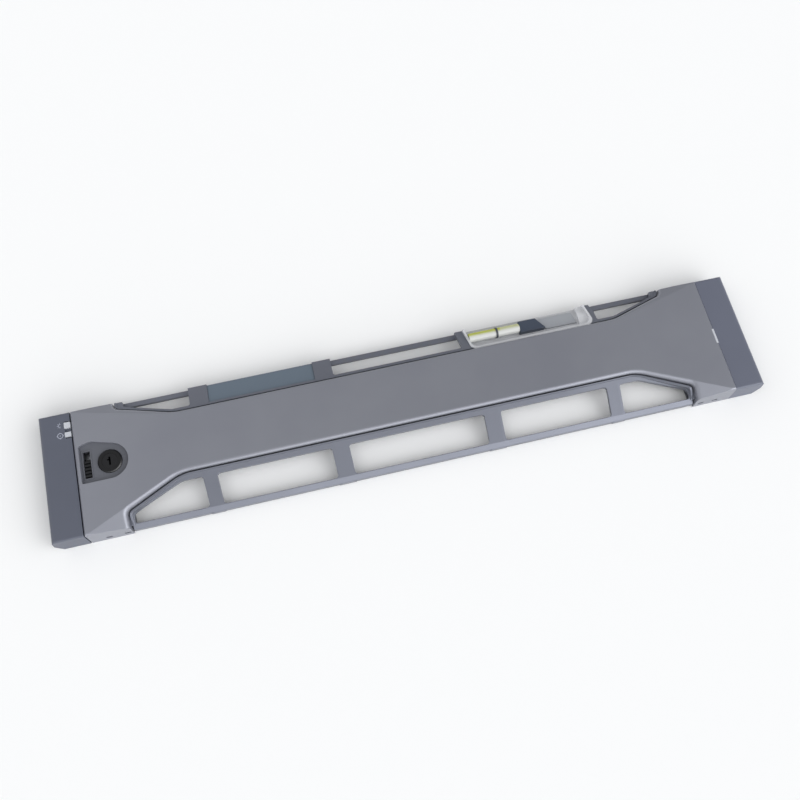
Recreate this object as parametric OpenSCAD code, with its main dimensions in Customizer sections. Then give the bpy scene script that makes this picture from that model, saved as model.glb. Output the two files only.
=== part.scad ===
// Server front bezel for a two-unit rack drawer, lying on its rear rim with the front face up.
// Origin: centre of the footprint, on the plane of the rear rim.
// +X runs along the width, +Y towards the top edge, +Z out of the front face. Millimetres.

/* [Overall] */
// Overall width across both end caps
width = 482.6; // [470:0.2:495]
// Height over the rear edges
height = 86.8; // [85.6:0.2:88.8]
// Height of the front face, where the side walls meet it
face_height = 84; // [83:0.2:85.4]
// Depth from the rear rim to the front face
depth = 17; // [16.6:0.1:20]
// Thickness of the moulded shells
wall = 2.2; // [1.8:0.1:2.6]
// Width of each end cap
cap_width = 21.5; // [20:0.5:24]
// How far the fascia stands proud of the end caps
cap_step = 0.8; // [0.2:0.1:1.2]
// Open joint between the fascia and the left cap
left_gap = 0.8; // [0.1:0.1:1]
// Close joint between the fascia and the right cap
right_gap = 0.1; // [0.1:0.1:1]

/* [Band and openings] */
// Centre line down to the band's lower edge
band_low = 14.6; // [13:0.1:16]
// Centre line up to the band's upper edge
band_high = 26.9; // [26:0.1:28]
// Fascia left standing beyond each end of the openings
end_land = 26.8; // [25:0.2:30]
// Slope of the lower opening's flared ends
flare_low = 24.9; // [22:0.1:27]
// Slope of the upper opening's flared ends
flare_high = 16.2; // [14:0.1:18]
// Length of each lower flare, along the width
flare_low_run = 36.7; // [32:0.1:42]
// Length of each upper flare, along the width
flare_high_run = 39; // [34:0.5:44]
// Radius of the rolled edge round the lower opening
roll_low = 2.4; // [1.6:0.1:2.8]
// Radius of the rolled edge round the upper opening
roll_high = 1.6; // [1:0.1:2]
// Dark gap between the fascia and the grille
groove = 0.9; // [0.6:0.1:1.4]

/* [Grille] */
// Lower window edge nearest the band
window_low = 19.6; // [19:0.1:21]
// Upper window edge nearest the band
window_high = 29.8; // [29.4:0.1:30.4]
// Thickness of the grille moulding
grille_t = 2.4; // [2:0.1:3]
// Opening's end to the middle of each outer post
post_inset = 55; // [50:0.5:60]
// Centres of the inner posts
inner_post_x = 52; // [48:0.5:56]
// Chamfer along both edges of the lower posts
post_chamfer = 1; // [0.5:0.1:1.4]
// Width of the lower outer posts
outer_post_w = 9.2; // [7:0.2:12]
// Width of the lower inner posts
inner_post_w = 11.5; // [8:0.2:14]
// Width of the raised upper posts beside the nameplate
lug_w = 12.6; // [10:0.2:14]
// Backward slope of the lower grille
slope_low = 18.9; // [16:0.1:20]
// Backward slope of the upper grille
slope_high = 10.2; // [6:0.1:12]

/* [Rails] */
// Inner edge of the upper rail
rail_high = 39.8; // [39:0.1:40.6]
// Thickness of the upper rail
rail_high_t = 2.6; // [2:0.1:3.4]
// Inner edge of the lower rail
rail_low = 38.9; // [38:0.1:39.6]
// Width of the lower rail
rail_low_w = 3.4; // [3:0.1:3.8]
// Thickness of the rear plates
plate_t = 2; // [1.6:0.1:2.4]

/* [Lock and latch] */
// Lock axis from the fascia's left end
lock_inset = 21; // [20:0.2:23]
// Lock axis above the centre line
lock_y = 3.2; // [1:0.2:5]
// Radius of the lock's black front ring
lock_ring_r = 7.8; // [7:0.1:8.6]
// Radius of the lock barrel
barrel_r = 5.9; // [5.4:0.1:6.2]
// Radius of the key plug
plug_r = 3.8; // [3.2:0.1:4.2]
// Running clearance of the key plug, on the radius
plug_clearance = 0.05; // [0.02:0.01:0.1]
// Centre of the release slot from the fascia's left end
slot_inset = 6.7; // [6.4:0.1:7]
// Width of the release slot
slot_w = 4.6; // [4:0.1:5]
// Length of the release slot
slot_l = 18.2; // [17:0.2:20]
// Gap between the slider and each side of its slot
slider_clearance = 0.15; // [0.1:0.05:0.25]
// How far the slider and latch travel
latch_travel = 5; // [3:0.2:5.6]
// Thickness of the sheet metal latch plate
latch_t = 1.4; // [1:0.1:1.6]

/* [Status window] */
// Radius of the tinted light guide rod
guide_r = 3.3; // [2.6:0.1:3.4]
// Radius of the dark collar on the rod
collar_r = 3.7; // [3.5:0.1:3.8]

/* [Screws] */
// Radius of the screw shanks
screw_r = 1.2; // [1:0.1:1.4]
// Radius of the screw heads
head_r = 2.4; // [2:0.1:2.6]
// Thickness of the screw heads
head_t = 1.4; // [1:0.1:1.4]

/* [Hidden] */
$fn = 48;
eps = 0.01;
big = 700;

// half sizes and the places that follow from them
fas_x = width / 2 - cap_width;
half_h = height / 2;
half_f = face_height / 2;
lean = atan((half_h - half_f) / depth);
opening_half = fas_x - end_land;
bend_low = opening_half - flare_low_run;
bend_high = opening_half - flare_high_run;
outer_post_x = opening_half - post_inset;
lock_x = fas_x - lock_inset;
slot_x = fas_x - slot_inset;

// levels, measured up from the rear rim
face_in = depth - wall;
web_top = 9;
web_bot = 6.6;
plate_bot = head_t + 0.2;
plate_top = plate_bot + plate_t;
field_bot = plate_top + 0.2;
rail_high_top = 8;
rail_high_bot = rail_high_top - rail_high_t;
rear_rail_top = field_bot - 0.2;
cap_top = depth - cap_step;

// outer edges of the rails, posts and lugs
rail_high_out = half_h - 0.4;
rail_low_out = rail_low + rail_low_w;
post_out = rail_low_out + 0.3;
lug_out = half_h - 0.3;
inside_y = half_h - wall - 1;

// joints between fascia and caps
left_in = fas_x + left_gap;
right_in = fas_x + right_gap;
cap_wall = 1.8;
edge_chamfer = 0.9;

// grille surfaces
low_start = band_low + 0.7;
low_drop = 2.2;
high_start = band_high + 0.7;
high_drop = 2.2;
name_drop = 0.8;
name_t = 1.2;
seat_gap = 0.05;
rim_w = 1.5;
rim_drop = 2.4;
rim_slope = 7;
post_taper = 0.5;
foot_slope = 38;
skirt_t = 1.3;
foot_v = rail_low + 0.4;
foot_z = depth - low_drop - tan(slope_low) * (foot_v - low_start);
name_seat_z = depth - high_drop - name_drop - name_t - tan(slope_high) * (rail_high + 1.4 - high_start);
name_x0 = 1 + lug_w / 2 - outer_post_x;
name_x1 = -0.4 - lug_w / 2 - inner_post_x;

// status bay between the two arms
bay_floor = rail_high_top;
bay_l_bot = inner_post_x - 1.4;
bay_l_top = bay_l_bot - 2.9;
bay_r_bot = outer_post_x + 2.7;
bay_r_top = bay_r_bot - 4.3;
arm_l_top = bay_l_top - 5.2;
arm_l_bot = bay_l_bot - 5.5;
arm_r_top = bay_r_top + 4.2;
arm_r_bot = bay_r_bot + 2.1;
tray_low = band_high + 0.4;
tray_t = 1.2;
tray_rim = 1.5;
tray_top = depth - 2.2;
tray_out = half_h - 0.6;
tray_len = bay_r_bot - bay_l_bot;
guide_y = tray_out - collar_r - 2.9;
guide_z = bay_floor + tray_t + collar_r;
guide_x0 = bay_l_bot + 0.4;
guide_x1 = guide_x0 + 0.405 * tray_len;
collar_x = guide_x0 + 0.22 * tray_len;
bits_y0 = guide_y - 3.8;
bits_y1 = guide_y + 4.2;
lamp_x1 = guide_x1 + 0.2 * tray_len;
reflector_x1 = bay_r_bot - 11.4;

// lock and latch levels
esc_top = face_in;
esc_t = 2.2;
esc_bot = esc_top - esc_t;
ring_top = depth - 0.8;
barrel_bot = 4.6;
nut_t = 2.8;
plug_head_r = plug_r + 1.2;
tail_r = 1.8;
cam_t = 1.4;
cam_top = barrel_bot - 0.2;
cam_reach = 13;
cam_nut_t = 1.6;
stud_r = 1.4;
guide_floor = 5.4;
latch_z = guide_floor + 1.6;
latch_top = latch_z + latch_t;
latch_w = 6.2;
slot_y0 = lock_y - 8.5;
slot_y1 = slot_y0 + slot_l;
slider_l = slot_l - latch_travel - 1.6;
latch_y0 = slot_y0 - 10.7;
latch_y1 = slot_y1 + 6.1;
spring_y1 = latch_y1 + latch_travel + 7;
spring_r = 1.75;
spring_wire = 0.5;
spring_z = latch_top + spring_r + 0.25;
guide_y0 = latch_y0 - 8.4;
guide_y1 = spring_y1 + 8.3;
guide_boss_y = [guide_y0 + 2.9, guide_y1 - 2.9];
tongue_y = [latch_y0 + 2.5, latch_y0 + 9];
tongue_x = left_in + 11.7;

// screw positions
screw_pitch = (opening_half - 43) / 2;
fascia_screw_x = [for (i = [-2:2]) i * screw_pitch];
fascia_screw_y = 6;
frame_screw_x = fas_x - 16.8;
frame_screw_y = inside_y - 1.9;
cap_screw_x = fas_x + 10.7;
cap_screw_y = 34;
hook_screw_x = fas_x - 13.8;
hook_screw_y = 14;
snap_x = [-fas_x + 9.8, -fas_x + 21.8, fas_x - 24.3, fas_x - 13.8];

// ---------- helpers ----------

function arc(c, r, a0, a1, n = 6) =
  [for (i = [0:n]) let (a = a0 + (a1 - a0) * i / n) [c[0] + r * cos(a), c[1] + r * sin(a)]];

// half of an opening's contour: x along the bezel, v outwards from the centre line
function contour(edge, bend, a, bend_r, end, end_r, g = 0) =
  let (
    e = edge + g,
    b = bend - g * tan(a / 2),
    x1 = end - g,
    r1 = bend_r - g,
    r2 = end_r - g,
    t = r1 * tan(a / 2),
    cx = x1 - r2,
    cv = e + tan(a) * (cx - b) + r2 / cos(a)
  )
  concat(arc([b - t, e + r1], r1, -90, a - 90, 6), arc([cx, cv], r2, a - 90, 0, 6));

module opening_plan(side, half, reach) {
  last = half[len(half) - 1];
  right = [for (p = half) [p[0], side * p[1]]];
  left = [for (i = [len(half) - 1:-1:0]) [-half[i][0], side * half[i][1]]];
  polygon(concat(right, [[last[0], side * reach], [-last[0], side * reach]], left));
}

// the whole contour as one path, from far beyond one end round to the other
function path(half, reach) =
  let (n = len(half) - 1)
  concat(
    [[-half[n][0], reach]],
    [for (i = [n:-1:0]) [-half[i][0], half[i][1]]],
    half,
    [[half[n][0], reach]]
  );

function low_half(g = 0) = contour(band_low, bend_low, flare_low, 30, opening_half, 5, g);
function high_half(g = 0) = contour(band_high, bend_high, flare_high, 30, opening_half, 4.5, g);

// a half space above a plane through [x, y, z] that falls away in the direction ang
module half_space(x, y, z, ang, tilt) {
  translate([x, y, z])
    rotate([0, 0, ang])
      rotate([0, tilt, 0])
        translate([-big, -big, 0])
          cube([2 * big, 2 * big, big]);
}

function side_y(z, inset) = half_h - (half_h - half_f) * z / depth - inset / cos(lean);

// cross-section of the shells: y across, z up
module side_section(inset, top, r, low) {
  yc = side_y(top - r, inset) - r / cos(lean);
  polygon(concat(
    [[side_y(low, inset), low]],
    arc([yc, top - r], r, lean, 90),
    arc([-yc, top - r], r, 90, 180 - lean),
    [[-side_y(low, inset), low]]
  ));
}

module along_x(x0, x1) {
  translate([x0, 0, 0])
    rotate([90, 0, 90])
      linear_extrude(x1 - x0)
        children();
}

module along_y(y0, y1) {
  translate([0, y1, 0])
    rotate([90, 0, 0])
      linear_extrude(y1 - y0)
        children();
}

module box(x, y, z) {
  translate([x[0], y[0], z[0]])
    cube([x[1] - x[0], y[1] - y[0], z[1] - z[0]]);
}

module rod(x, y, z0, z1, r) {
  translate([x, y, z0])
    cylinder(r = r, h = z1 - z0);
}

module both_ways() {
  children();
  mirror([1, 0, 0])
    children();
}

// pan head screw driven from behind, head below z
module screw(x, y, z, top) {
  difference() {
    union() {
      rod(x, y, z - head_t, z, head_r);
      rod(x, y, z - eps, top, screw_r - 0.05);
    }
    for (a = [0, 90])
      translate([x, y, z - head_t])
        rotate([0, 0, a])
          cube([2.6, 0.6, 1.2], center = true);
  }
}

// ---------- fascia ----------

// ridge lines where the flat face ends: level across the middle, level and start of the slanted
// stretch, its angle, and the facet's tilt
ridge_low = [band_low, band_low - 2.2, bend_low - 1, flare_low, 21];
ridge_high = [band_high, band_high - 2, bend_high - 1, 13.8, 15];

// height of the face at x, and v outwards from the centre line
function face_z(r, x, v) =
  let (
    across = v - r[0],
    slanted = (v - r[1]) * cos(r[3]) - (abs(x) - r[2]) * sin(r[3])
  )
  depth - tan(r[4]) * max(0, min(across, slanted));

module fascia_plan(inset) {
  difference() {
    square([2 * (fas_x - inset), 2 * height], center = true);
    opening_plan(-1, low_half(-inset), 2 * height);
    opening_plan(1, high_half(-inset), 2 * height);
  }
}

module facet_plane(r, side, x, v, turn, z) {
  half_space(x, side * v, z, side * (90 + turn), r[4]);
}

// sloping corner facets beyond the ridge lines
module facet_cut(z) {
  for (pair = [[ridge_low, -1], [ridge_high, 1]]) {
    r = pair[0];
    side = pair[1];
    intersection() {
      facet_plane(r, side, r[2], r[1], r[3], z);
      facet_plane(r, side, 0, r[0], 0, z);
      facet_plane(r, side, -r[2], r[1], -r[3], z);
    }
  }
}

// a quarter round swept along an opening's whole contour, over the facets
roll_steps = 6;
function opening_half_path(edge, bend, flare, bend_r, end_r, g) =
  path(contour(edge, bend, flare, bend_r, opening_half, end_r, g), half_h + 14);

module roll_cut(edge, bend, flare, bend_r, end_r, ridge, r) {
  offs = concat([for (k = [0:roll_steps]) r * (sin(90 * k / roll_steps) - 1)], [2.4, 2.4, -r]);
  drops = concat([for (k = [0:roll_steps]) r * (1 - cos(90 * k / roll_steps))], [r]);
  rings = [for (g = offs) opening_half_path(edge, bend, flare, bend_r, end_r, g)];
  n = len(rings[0]);
  m = len(offs);
  points = [
    for (i = [0:n - 1], j = [0:m - 1])
      let (p = rings[j][i], q = rings[min(j, roll_steps)][i])
      [p[0], p[1], j > roll_steps + 1 ? depth + 3 : face_z(ridge, q[0], q[1]) - drops[j]]
  ];
  sides = [
    for (i = [0:n - 2], j = [0:m - 1])
      [i * m + j, (i + 1) * m + j, (i + 1) * m + (j + 1) % m, i * m + (j + 1) % m]
  ];
  ends = [[for (j = [0:m - 1]) j], [for (j = [m - 1:-1:0]) (n - 1) * m + j]];
  polyhedron(points, concat(sides, ends), convexity = 10);
}

module low_roll() {
  mirror([0, 1, 0])
    roll_cut(band_low, bend_low, flare_low, 30, 5, ridge_low, roll_low);
}

module high_roll() {
  roll_cut(band_high, bend_high, flare_high, 30, 4.5, ridge_high, roll_high);
}

module escutcheon_plan(g = 0) {
  left = 2.4 - fas_x;
  offset(delta = g)
    offset(r = 1.4)
      offset(delta = -1.4) {
        translate([-lock_x, lock_y])
          circle(r = 12);
        polygon([
          [left, lock_y - 12], [-lock_x, lock_y - 12], [-lock_x, lock_y + 12],
          [-lock_x + 3.4, lock_y + 11.5], [-lock_x - 10.2, lock_y + 15.4],
          [-lock_x - 13, lock_y + 15.2], [left, lock_y + 13.6]
        ]);
      }
}

module front_fascia() {
  color([0.6, 0.61, 0.64])
    difference() {
      union() {
        difference() {
          intersection() {
            along_x(-fas_x, fas_x)
              side_section(0, depth, 1.6, 0);
            linear_extrude(depth + 1)
              fascia_plan(0);
          }
          intersection() {
            along_x(-fas_x, fas_x)
              side_section(wall, face_in, 0.6, -1);
            translate([0, 0, -1])
              linear_extrude(depth)
                fascia_plan(wall);
            fascia_room();
          }
          box([-big, big], [-inside_y - 0.1, inside_y + 0.1], [-1, web_top]);
        }
        for (x = fascia_screw_x)
          rod(x, fascia_screw_y, web_top, face_in + eps, 3.2);
        for (y = guide_boss_y)
          rod(-slot_x, y, latch_z, face_in + eps, 2.4);
      }
      facet_cut(depth);
      low_roll();
      high_roll();
      half_space(edge_chamfer - fas_x, 0, depth, 180, 42);
      half_space(fas_x - edge_chamfer, 0, depth, 0, 42);
      translate([0, 0, face_in - 1])
        linear_extrude(wall + 2)
          escutcheon_plan();
      for (x = fascia_screw_x)
        rod(x, fascia_screw_y, web_top - 1, face_in - 0.8, screw_r);
      for (y = guide_boss_y)
        rod(-slot_x, y, latch_z - 1, face_in - 0.8, screw_r);
      box([fas_x - 1.4, fas_x + 1], [-6.8, 3.9], [web_top - 1, depth + 1]);
      for (x = snap_x)
        box([x, x + 4], [-half_h - 1, wall + 1.5 - half_h], [3.2, 5.2]);
    }
}

// everything under the lowered facets
module fascia_room() {
  difference() {
    translate([-big, -big, -2])
      cube([2 * big, 2 * big, depth + 2]);
    facet_cut(face_in);
  }
}

// ---------- rear frame ----------

// flanges at the ends of the rear frame, which carry the web
module frame_flange(side) {
  y = [rail_low - 2.2, inside_y];
  box([opening_half + 3, fas_x - wall - 1], side > 0 ? y : [-y[1], -y[0]], [plate_bot, web_bot]);
}

module rear_frame() {
  color([0.16, 0.17, 0.19])
    difference() {
      union() {
        box([1 - opening_half, opening_half - 1], [skirt_t + 0.2 - rail_low_out, -rail_low - 0.2], [0, rear_rail_top]);
        both_ways() {
          frame_flange(1);
          frame_flange(-1);
          box([opening_half - 2.6, fas_x - wall - 1], [-inside_y, inside_y], [plate_bot, plate_top]);
          for (s = [-1, 1])
            translate([0, s * cap_screw_y, 0])
              box([fas_x - wall - 2, cap_screw_x + 4.4], [-4.8, 4.8], [plate_bot, plate_top]);
        }
      }
      box([wall + 1.4 - fas_x, 2.6 - opening_half], [guide_y0 - 1.5, guide_boss_y[1] - 2.6],
        [plate_bot - 1, web_bot + 1]);
      box([-big, -slot_x + 5], [-big, big], [plate_top, web_bot + 1]);
      both_ways()
        for (s = [-1, 1]) {
          rod(frame_screw_x, s * frame_screw_y, 0, web_bot + 1, screw_r);
          rod(cap_screw_x, s * cap_screw_y, 0, web_bot + 1, screw_r);
        }
      for (s = [-1, 1])
        rod(hook_screw_x, s * hook_screw_y, 0, web_bot + 1, screw_r);
      box([hook_screw_x - 9, hook_screw_x + 5.6], [-8, 8], [0, web_bot]);
    }
}

// ---------- grille ----------

module low_slope(lower = 0) {
  half_space(0, -low_start, depth - low_drop - lower, -90, slope_low);
}

module high_slope(lower = 0) {
  half_space(0, high_start, depth - high_drop - lower, 90, slope_high);
}

// what lies under a sloping surface, down to t below it
module low_skin(t) {
  difference() {
    low_slope(t);
    low_slope();
  }
}

module high_skin(t) {
  difference() {
    high_slope(t);
    high_slope();
  }
}

module low_windows() {
  offset(r = 2)
    offset(delta = -2)
      difference() {
        opening_plan(-1, contour(window_low, bend_low + 0.4, 21.2, 14, opening_half - 2.8, 5), rail_low);
        for (s = [-1, 1]) {
          post_plan(s * outer_post_x, outer_post_w, s * post_taper);
          post_plan(s * inner_post_x, inner_post_w, s * post_taper / 2);
        }
      }
}

module post_plan(x, w, taper) {
  polygon([
    [x - w / 2 + taper, 3 - window_low], [x + w / 2 + taper, 3 - window_low],
    [x + w / 2 - taper, -post_out - 1], [x - w / 2 - taper, -post_out - 1]
  ]);
}

// chamfered bar that runs down a slope from (x0, -v0) to (x1, -v1)
module post_bar(x0, x1, v0, v1, z0, slope, w) {
  run = v1 - v0;
  tilt = atan(tan(slope) * cos(atan((x1 - x0) / run)));
  c = post_chamfer;
  translate([x0, -v0, z0])
    rotate([0, 0, atan((x1 - x0) / run)])
      rotate([tilt, 0, 0])
        rotate([90, 0, 0])
          linear_extrude(run / cos(atan((x1 - x0) / run)) / cos(tilt))
            polygon([
              [-w / 2, -grille_t], [-w / 2, -c], [c - w / 2, 0],
              [w / 2 - c, 0], [w / 2, -c], [w / 2, -grille_t]
            ]);
}

module post(x, w, taper) {
  v0 = window_low - 3;
  lean_x = 2 * taper * (foot_v - v0) / (post_out - v0);
  post_bar(x + taper, x + taper - lean_x, v0, foot_v, depth - low_drop - tan(slope_low) * (v0 - low_start),
    slope_low, w);
  difference() {
    intersection() {
      post_bar(x + taper - lean_x, x - taper, foot_v - 0.6, post_out + 1,
        foot_z + tan(foot_slope) * 0.6 - 0.15, foot_slope, w);
      box([-big, big], [-post_out, -rail_low], [0.4, depth]);
    }
    box([-big, big], [skirt_t - rail_low_out, 0], [0, field_bot]);
  }
  box([x - w / 2, x + w / 2], [-post_out, -rail_low_out], [0.4, 3]);
}

module high_solids() {
  polygon([
    [name_x0 - lug_w, window_high - 4], [name_x1 + lug_w, window_high - 4],
    [name_x1 + lug_w, 62], [name_x0 - lug_w, 62]
  ]);
  polygon([
    [arm_l_bot, band_high - 1], [arm_l_top, half_h], [arm_l_top, 62], [arm_r_top, 62],
    [arm_r_top, half_h], [arm_r_bot, window_high + 7], [arm_r_bot, band_high - 1]
  ]);
}

module high_windows(reach = 62) {
  offset(r = 1.4)
    offset(delta = -1.4)
      difference() {
        opening_plan(1, contour(window_high, bend_high + 2.8, 17.6, 14, opening_half - 6, 3.4), reach);
        high_solids();
      }
}

module bay_plan(g = 0) {
  offset(r = 4)
    offset(delta = -4 - g)
      polygon([
        [bay_l_bot + 0.2, tray_low], [bay_l_top, half_h], [bay_l_top - 0.4, 50],
        [bay_r_top - 0.6, 50], [bay_r_top, half_h], [bay_r_bot, tray_low]
      ]);
}

module grille_frame() {
  color([0.36, 0.37, 0.4])
    difference() {
      union() {
        grille_web();
        low_field();
        high_field();
      }
      translate([0, 0, bay_floor])
        linear_extrude(depth)
          bay_plan();
      for (x = fascia_screw_x)
        rod(x, fascia_screw_y, 0, depth, screw_r);
      both_ways()
        for (s = [-1, 1])
          rod(frame_screw_x, s * frame_screw_y, 0, web_top - 0.6, screw_r);
    }
}

module grille_web() {
  difference() {
    union() {
      translate([0, 0, web_bot])
        linear_extrude(web_top - web_bot)
          difference() {
            square([2 * (fas_x - wall - 0.6), 2 * inside_y], center = true);
            opening_plan(-1, low_half(groove + 0.6), 60);
            opening_plan(1, high_half(groove + 0.6), 60);
          }
      for (y = [-8, 20])
        box([7 - opening_half, opening_half - 7], [y - 0.8, y + 0.8], [field_bot, web_bot + eps]);
      for (i = [-5:2:5])
        translate([i * screw_pitch / 2, 0, 0])
          box([-0.8, 0.8], [-band_low, band_high], [field_bot, web_bot + eps]);
    }
    box([-big, -slot_x + 4.9], [guide_y0 - 1.5, 60], [0, depth]);
    rod(-lock_x, lock_y, 0, depth, barrel_r + 0.7);
    box([hook_screw_x - 7, hook_screw_x + 6.6], [-22, 22], [0, depth]);
  }
}

// raised lip that follows an opening, standing on the web
module field_rim(side) {
  out = side < 0 ? rail_low_out : lug_out;
  difference() {
    translate([0, 0, web_bot])
      linear_extrude(depth - web_bot)
        offset(r = 0.7)
          offset(delta = -0.7)
            intersection() {
              difference() {
                opening_plan(side, side < 0 ? low_half(groove) : high_half(groove), 60);
                opening_plan(side, side < 0 ? low_half(groove + rim_w) : high_half(groove + rim_w), 80);
              }
              square([width, 2 * out], center = true);
            }
    half_space(0, side * (side < 0 ? low_start : high_start), depth - rim_drop, side * 90, rim_slope);
    if (side < 0) {
      half_space(0, -foot_v + 1, foot_z + 1.6, -90, foot_slope);
    }
  }
}

module low_field() {
  difference() {
    translate([0, 0, field_bot])
      linear_extrude(depth - field_bot)
        intersection() {
          opening_plan(-1, low_half(groove), 60);
          square([width, 2 * rail_low_out], center = true);
        }
    low_slope();
    half_space(0, -foot_v, foot_z, -90, foot_slope);
    difference() {
      box([-big, big], [-rail_low, 0], [0, depth]);
      low_slope(grille_t);
    }
    translate([0, 0, -1])
      linear_extrude(depth + 2)
        low_windows();
  }
  field_rim(-1);
  // outer skirt of the lower rail, in front of the rear frame
  box([groove - opening_half, opening_half - groove], [-rail_low_out, skirt_t - rail_low_out], [0.4, field_bot]);
  for (s = [-1, 1]) {
    post(s * outer_post_x, outer_post_w, s * post_taper);
    post(s * inner_post_x, inner_post_w, s * post_taper / 2);
  }
}

module high_field() {
  x = opening_half - 1.5;
  difference() {
    union() {
      difference() {
        intersection() {
          linear_extrude(depth)
            intersection() {
              opening_plan(1, high_half(groove), 60);
              square([width, 2 * lug_out], center = true);
            }
          high_skin(grille_t + name_drop);
        }
        translate([0, 0, -1])
          linear_extrude(depth + 2)
            high_windows();
      }
      // legs of the lugs and arms, down to the rail
      difference() {
        translate([0, 0, rail_high_bot])
          linear_extrude(depth - rail_high_bot)
            intersection() {
              offset(r = 0.8)
                offset(delta = -0.8)
                  high_solids();
              translate([-big, rail_high])
                square([2 * big, lug_out - rail_high]);
            }
        high_slope();
        translate([0, 0, -1])
          linear_extrude(depth + 2)
            bay_plan(-1.6);
      }
      field_rim(1);
    }
    // seat of the nameplate
    difference() {
      box([name_x0, name_x1], [window_high - 0.4, half_h + 1], [rail_high_top, depth + 1]);
      difference() {
        translate([-big, -big, -1])
          cube([2 * big, 2 * big, depth + 1]);
        high_slope(name_drop + name_t + seat_gap);
      }
    }
  }
  box([-x, x], [rail_high, rail_high_out], [rail_high_bot, rail_high_top]);
  for (y = [window_high - 2, rail_high])
    box([name_x0 - 1, name_x1 + 1], [y, y + 1.4], [rail_high_bot, name_seat_z - seat_gap]);
}

module nameplate() {
  color([0.35, 0.4, 0.44])
    difference() {
      box([name_x0 + 0.1, name_x1 - 0.1], [window_high - 0.3, half_h - 1], [0, depth]);
      high_slope(name_drop);
      difference() {
        translate([-big, -big, -1])
          cube([2 * big, 2 * big, depth + 1]);
        high_slope(name_drop + name_t);
      }
    }
}

// ---------- end caps ----------

module cap_section(inner, inset, top, low) {
  xo = width / 2 - inset;
  r = 2.4 - min(inset, 1.6);
  xi = inset > 0 ? inner + cap_wall : inner;
  polygon(concat(
    [[xi, low], [xo - 3.7, low], [xo, 8]],
    arc([xo - 0.6 - r, top - r], r, 4, 90),
    [[xi, top]]
  ));
}

module cap_shell(inner) {
  difference() {
    intersection() {
      along_y(-half_h, half_h)
        cap_section(inner, 0, cap_top, 0);
      along_x(0, width)
        side_section(0, cap_top, 1.4, 0);
    }
    difference() {
      intersection() {
        along_y(-half_h, half_h)
          cap_section(inner, wall, cap_top - wall, -1);
        along_x(0, width)
          side_section(wall, cap_top - wall, 0.6, -1);
      }
      for (s = [-1, 1]) {
        rod(cap_screw_x, s * cap_screw_y, plate_top, depth, 3);
        box([cap_screw_x - 0.7, cap_screw_x + 0.7], s > 0 ? [cap_screw_y, half_h] : [-half_h, -cap_screw_y],
          [plate_top, depth]);
      }
      for (y = [-18, 0, 18])
        box([inner, width / 2], [y - 0.6, y + 0.6], [10.5, depth]);
    }
    for (s = [-1, 1]) {
      rod(cap_screw_x, s * cap_screw_y, 0, cap_top - wall - 1, screw_r);
      translate([0, s * cap_screw_y, 0])
        box([inner - 1, inner + cap_wall + 1], [-5.2, 5.2], [-1, plate_top]);
    }
  }
}

pipe_x = [-left_in - 4, -left_in];
pipe_upper_y = [31.2, 35.2];
pipe_lower_y = [25.2, 28.4];

module left_end_cap() {
  color([0.3, 0.31, 0.34])
    difference() {
      mirror([1, 0, 0])
        cap_shell(left_in);
      box([-left_in - cap_wall - 1, 1 - left_in], [tongue_y[0] - 1, tongue_y[1] + latch_travel + 1],
        [-1, web_top + 0.4]);
      for (y = [pipe_upper_y, pipe_lower_y])
        box([pipe_x[0], pipe_x[1] + 1], y, [4, depth]);
      box([pipe_x[0] + 0.3, pipe_x[1] + 1], [24.2, 36], [cap_top - 1.3, depth]);
    }
}

module right_end_cap() {
  color([0.36, 0.37, 0.41])
    difference() {
      cap_shell(right_in);
      for (s = [-1, 1])
        translate([0, s * hook_screw_y, 0])
          box([right_in - 1, right_in + cap_wall + 1], [-4.6, 4.6], [-1, plate_top + 2]);
    }
}

module light_pipe(y) {
  color([0.92, 0.93, 0.95])
    union() {
      box(pipe_x, y, [6, cap_top + 0.3]);
      box([pipe_x[0], pipe_x[1] - cap_wall - 0.1], y, [4, 6 + eps]);
    }
}

module upper_light_pipe() {
  light_pipe(pipe_upper_y);
}

module lower_light_pipe() {
  light_pipe(pipe_lower_y);
}

module side_light_pipe() {
  color([0.92, 0.93, 0.95])
    box([fas_x - 1.4, fas_x], [-6.8, 3.9], [web_top, depth]);
}

// ---------- lock ----------

module lock_escutcheon() {
  color([0.45, 0.46, 0.48])
    difference() {
      union() {
        translate([0, 0, esc_bot])
          linear_extrude(esc_t)
            intersection() {
              escutcheon_plan(1.8);
              translate([wall - fas_x, -60])
                square([60, 120]);
            }
        translate([-slot_x, (slot_y0 + slot_y1) / 2, esc_top + 0.2])
          cube([slot_w + 1.4, slot_l + 1.4, 0.4 + eps], center = true);
      }
      box([-slot_x - slot_w / 2, -slot_x + slot_w / 2], [slot_y0, slot_y1], [0, depth]);
      rod(-lock_x, lock_y, 0, depth, barrel_r + 0.05);
    }
}

module lock_body() {
  color([0.06, 0.06, 0.07])
    difference() {
      union() {
        rod(-lock_x, lock_y, barrel_bot, esc_top, barrel_r);
        translate([-lock_x, lock_y, esc_top])
          rotate_extrude()
            polygon([
              [0, 0], [lock_ring_r, 0], [lock_ring_r, ring_top - esc_top - 0.7],
              [lock_ring_r - 0.7, ring_top - esc_top], [0, ring_top - esc_top]
            ]);
      }
      rod(-lock_x, lock_y, 0, depth, plug_r + plug_clearance);
      rod(-lock_x, lock_y, ring_top - 1.2, depth, plug_head_r + plug_clearance);
    }
}

module lock_nut() {
  color([0.7, 0.7, 0.7])
    difference() {
      translate([-lock_x, lock_y, esc_bot - nut_t])
        rotate([0, 0, 30])
          cylinder(r = 8.1, h = nut_t, $fn = 6);
      rod(-lock_x, lock_y, 0, depth, barrel_r + 0.05);
    }
}

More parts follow.
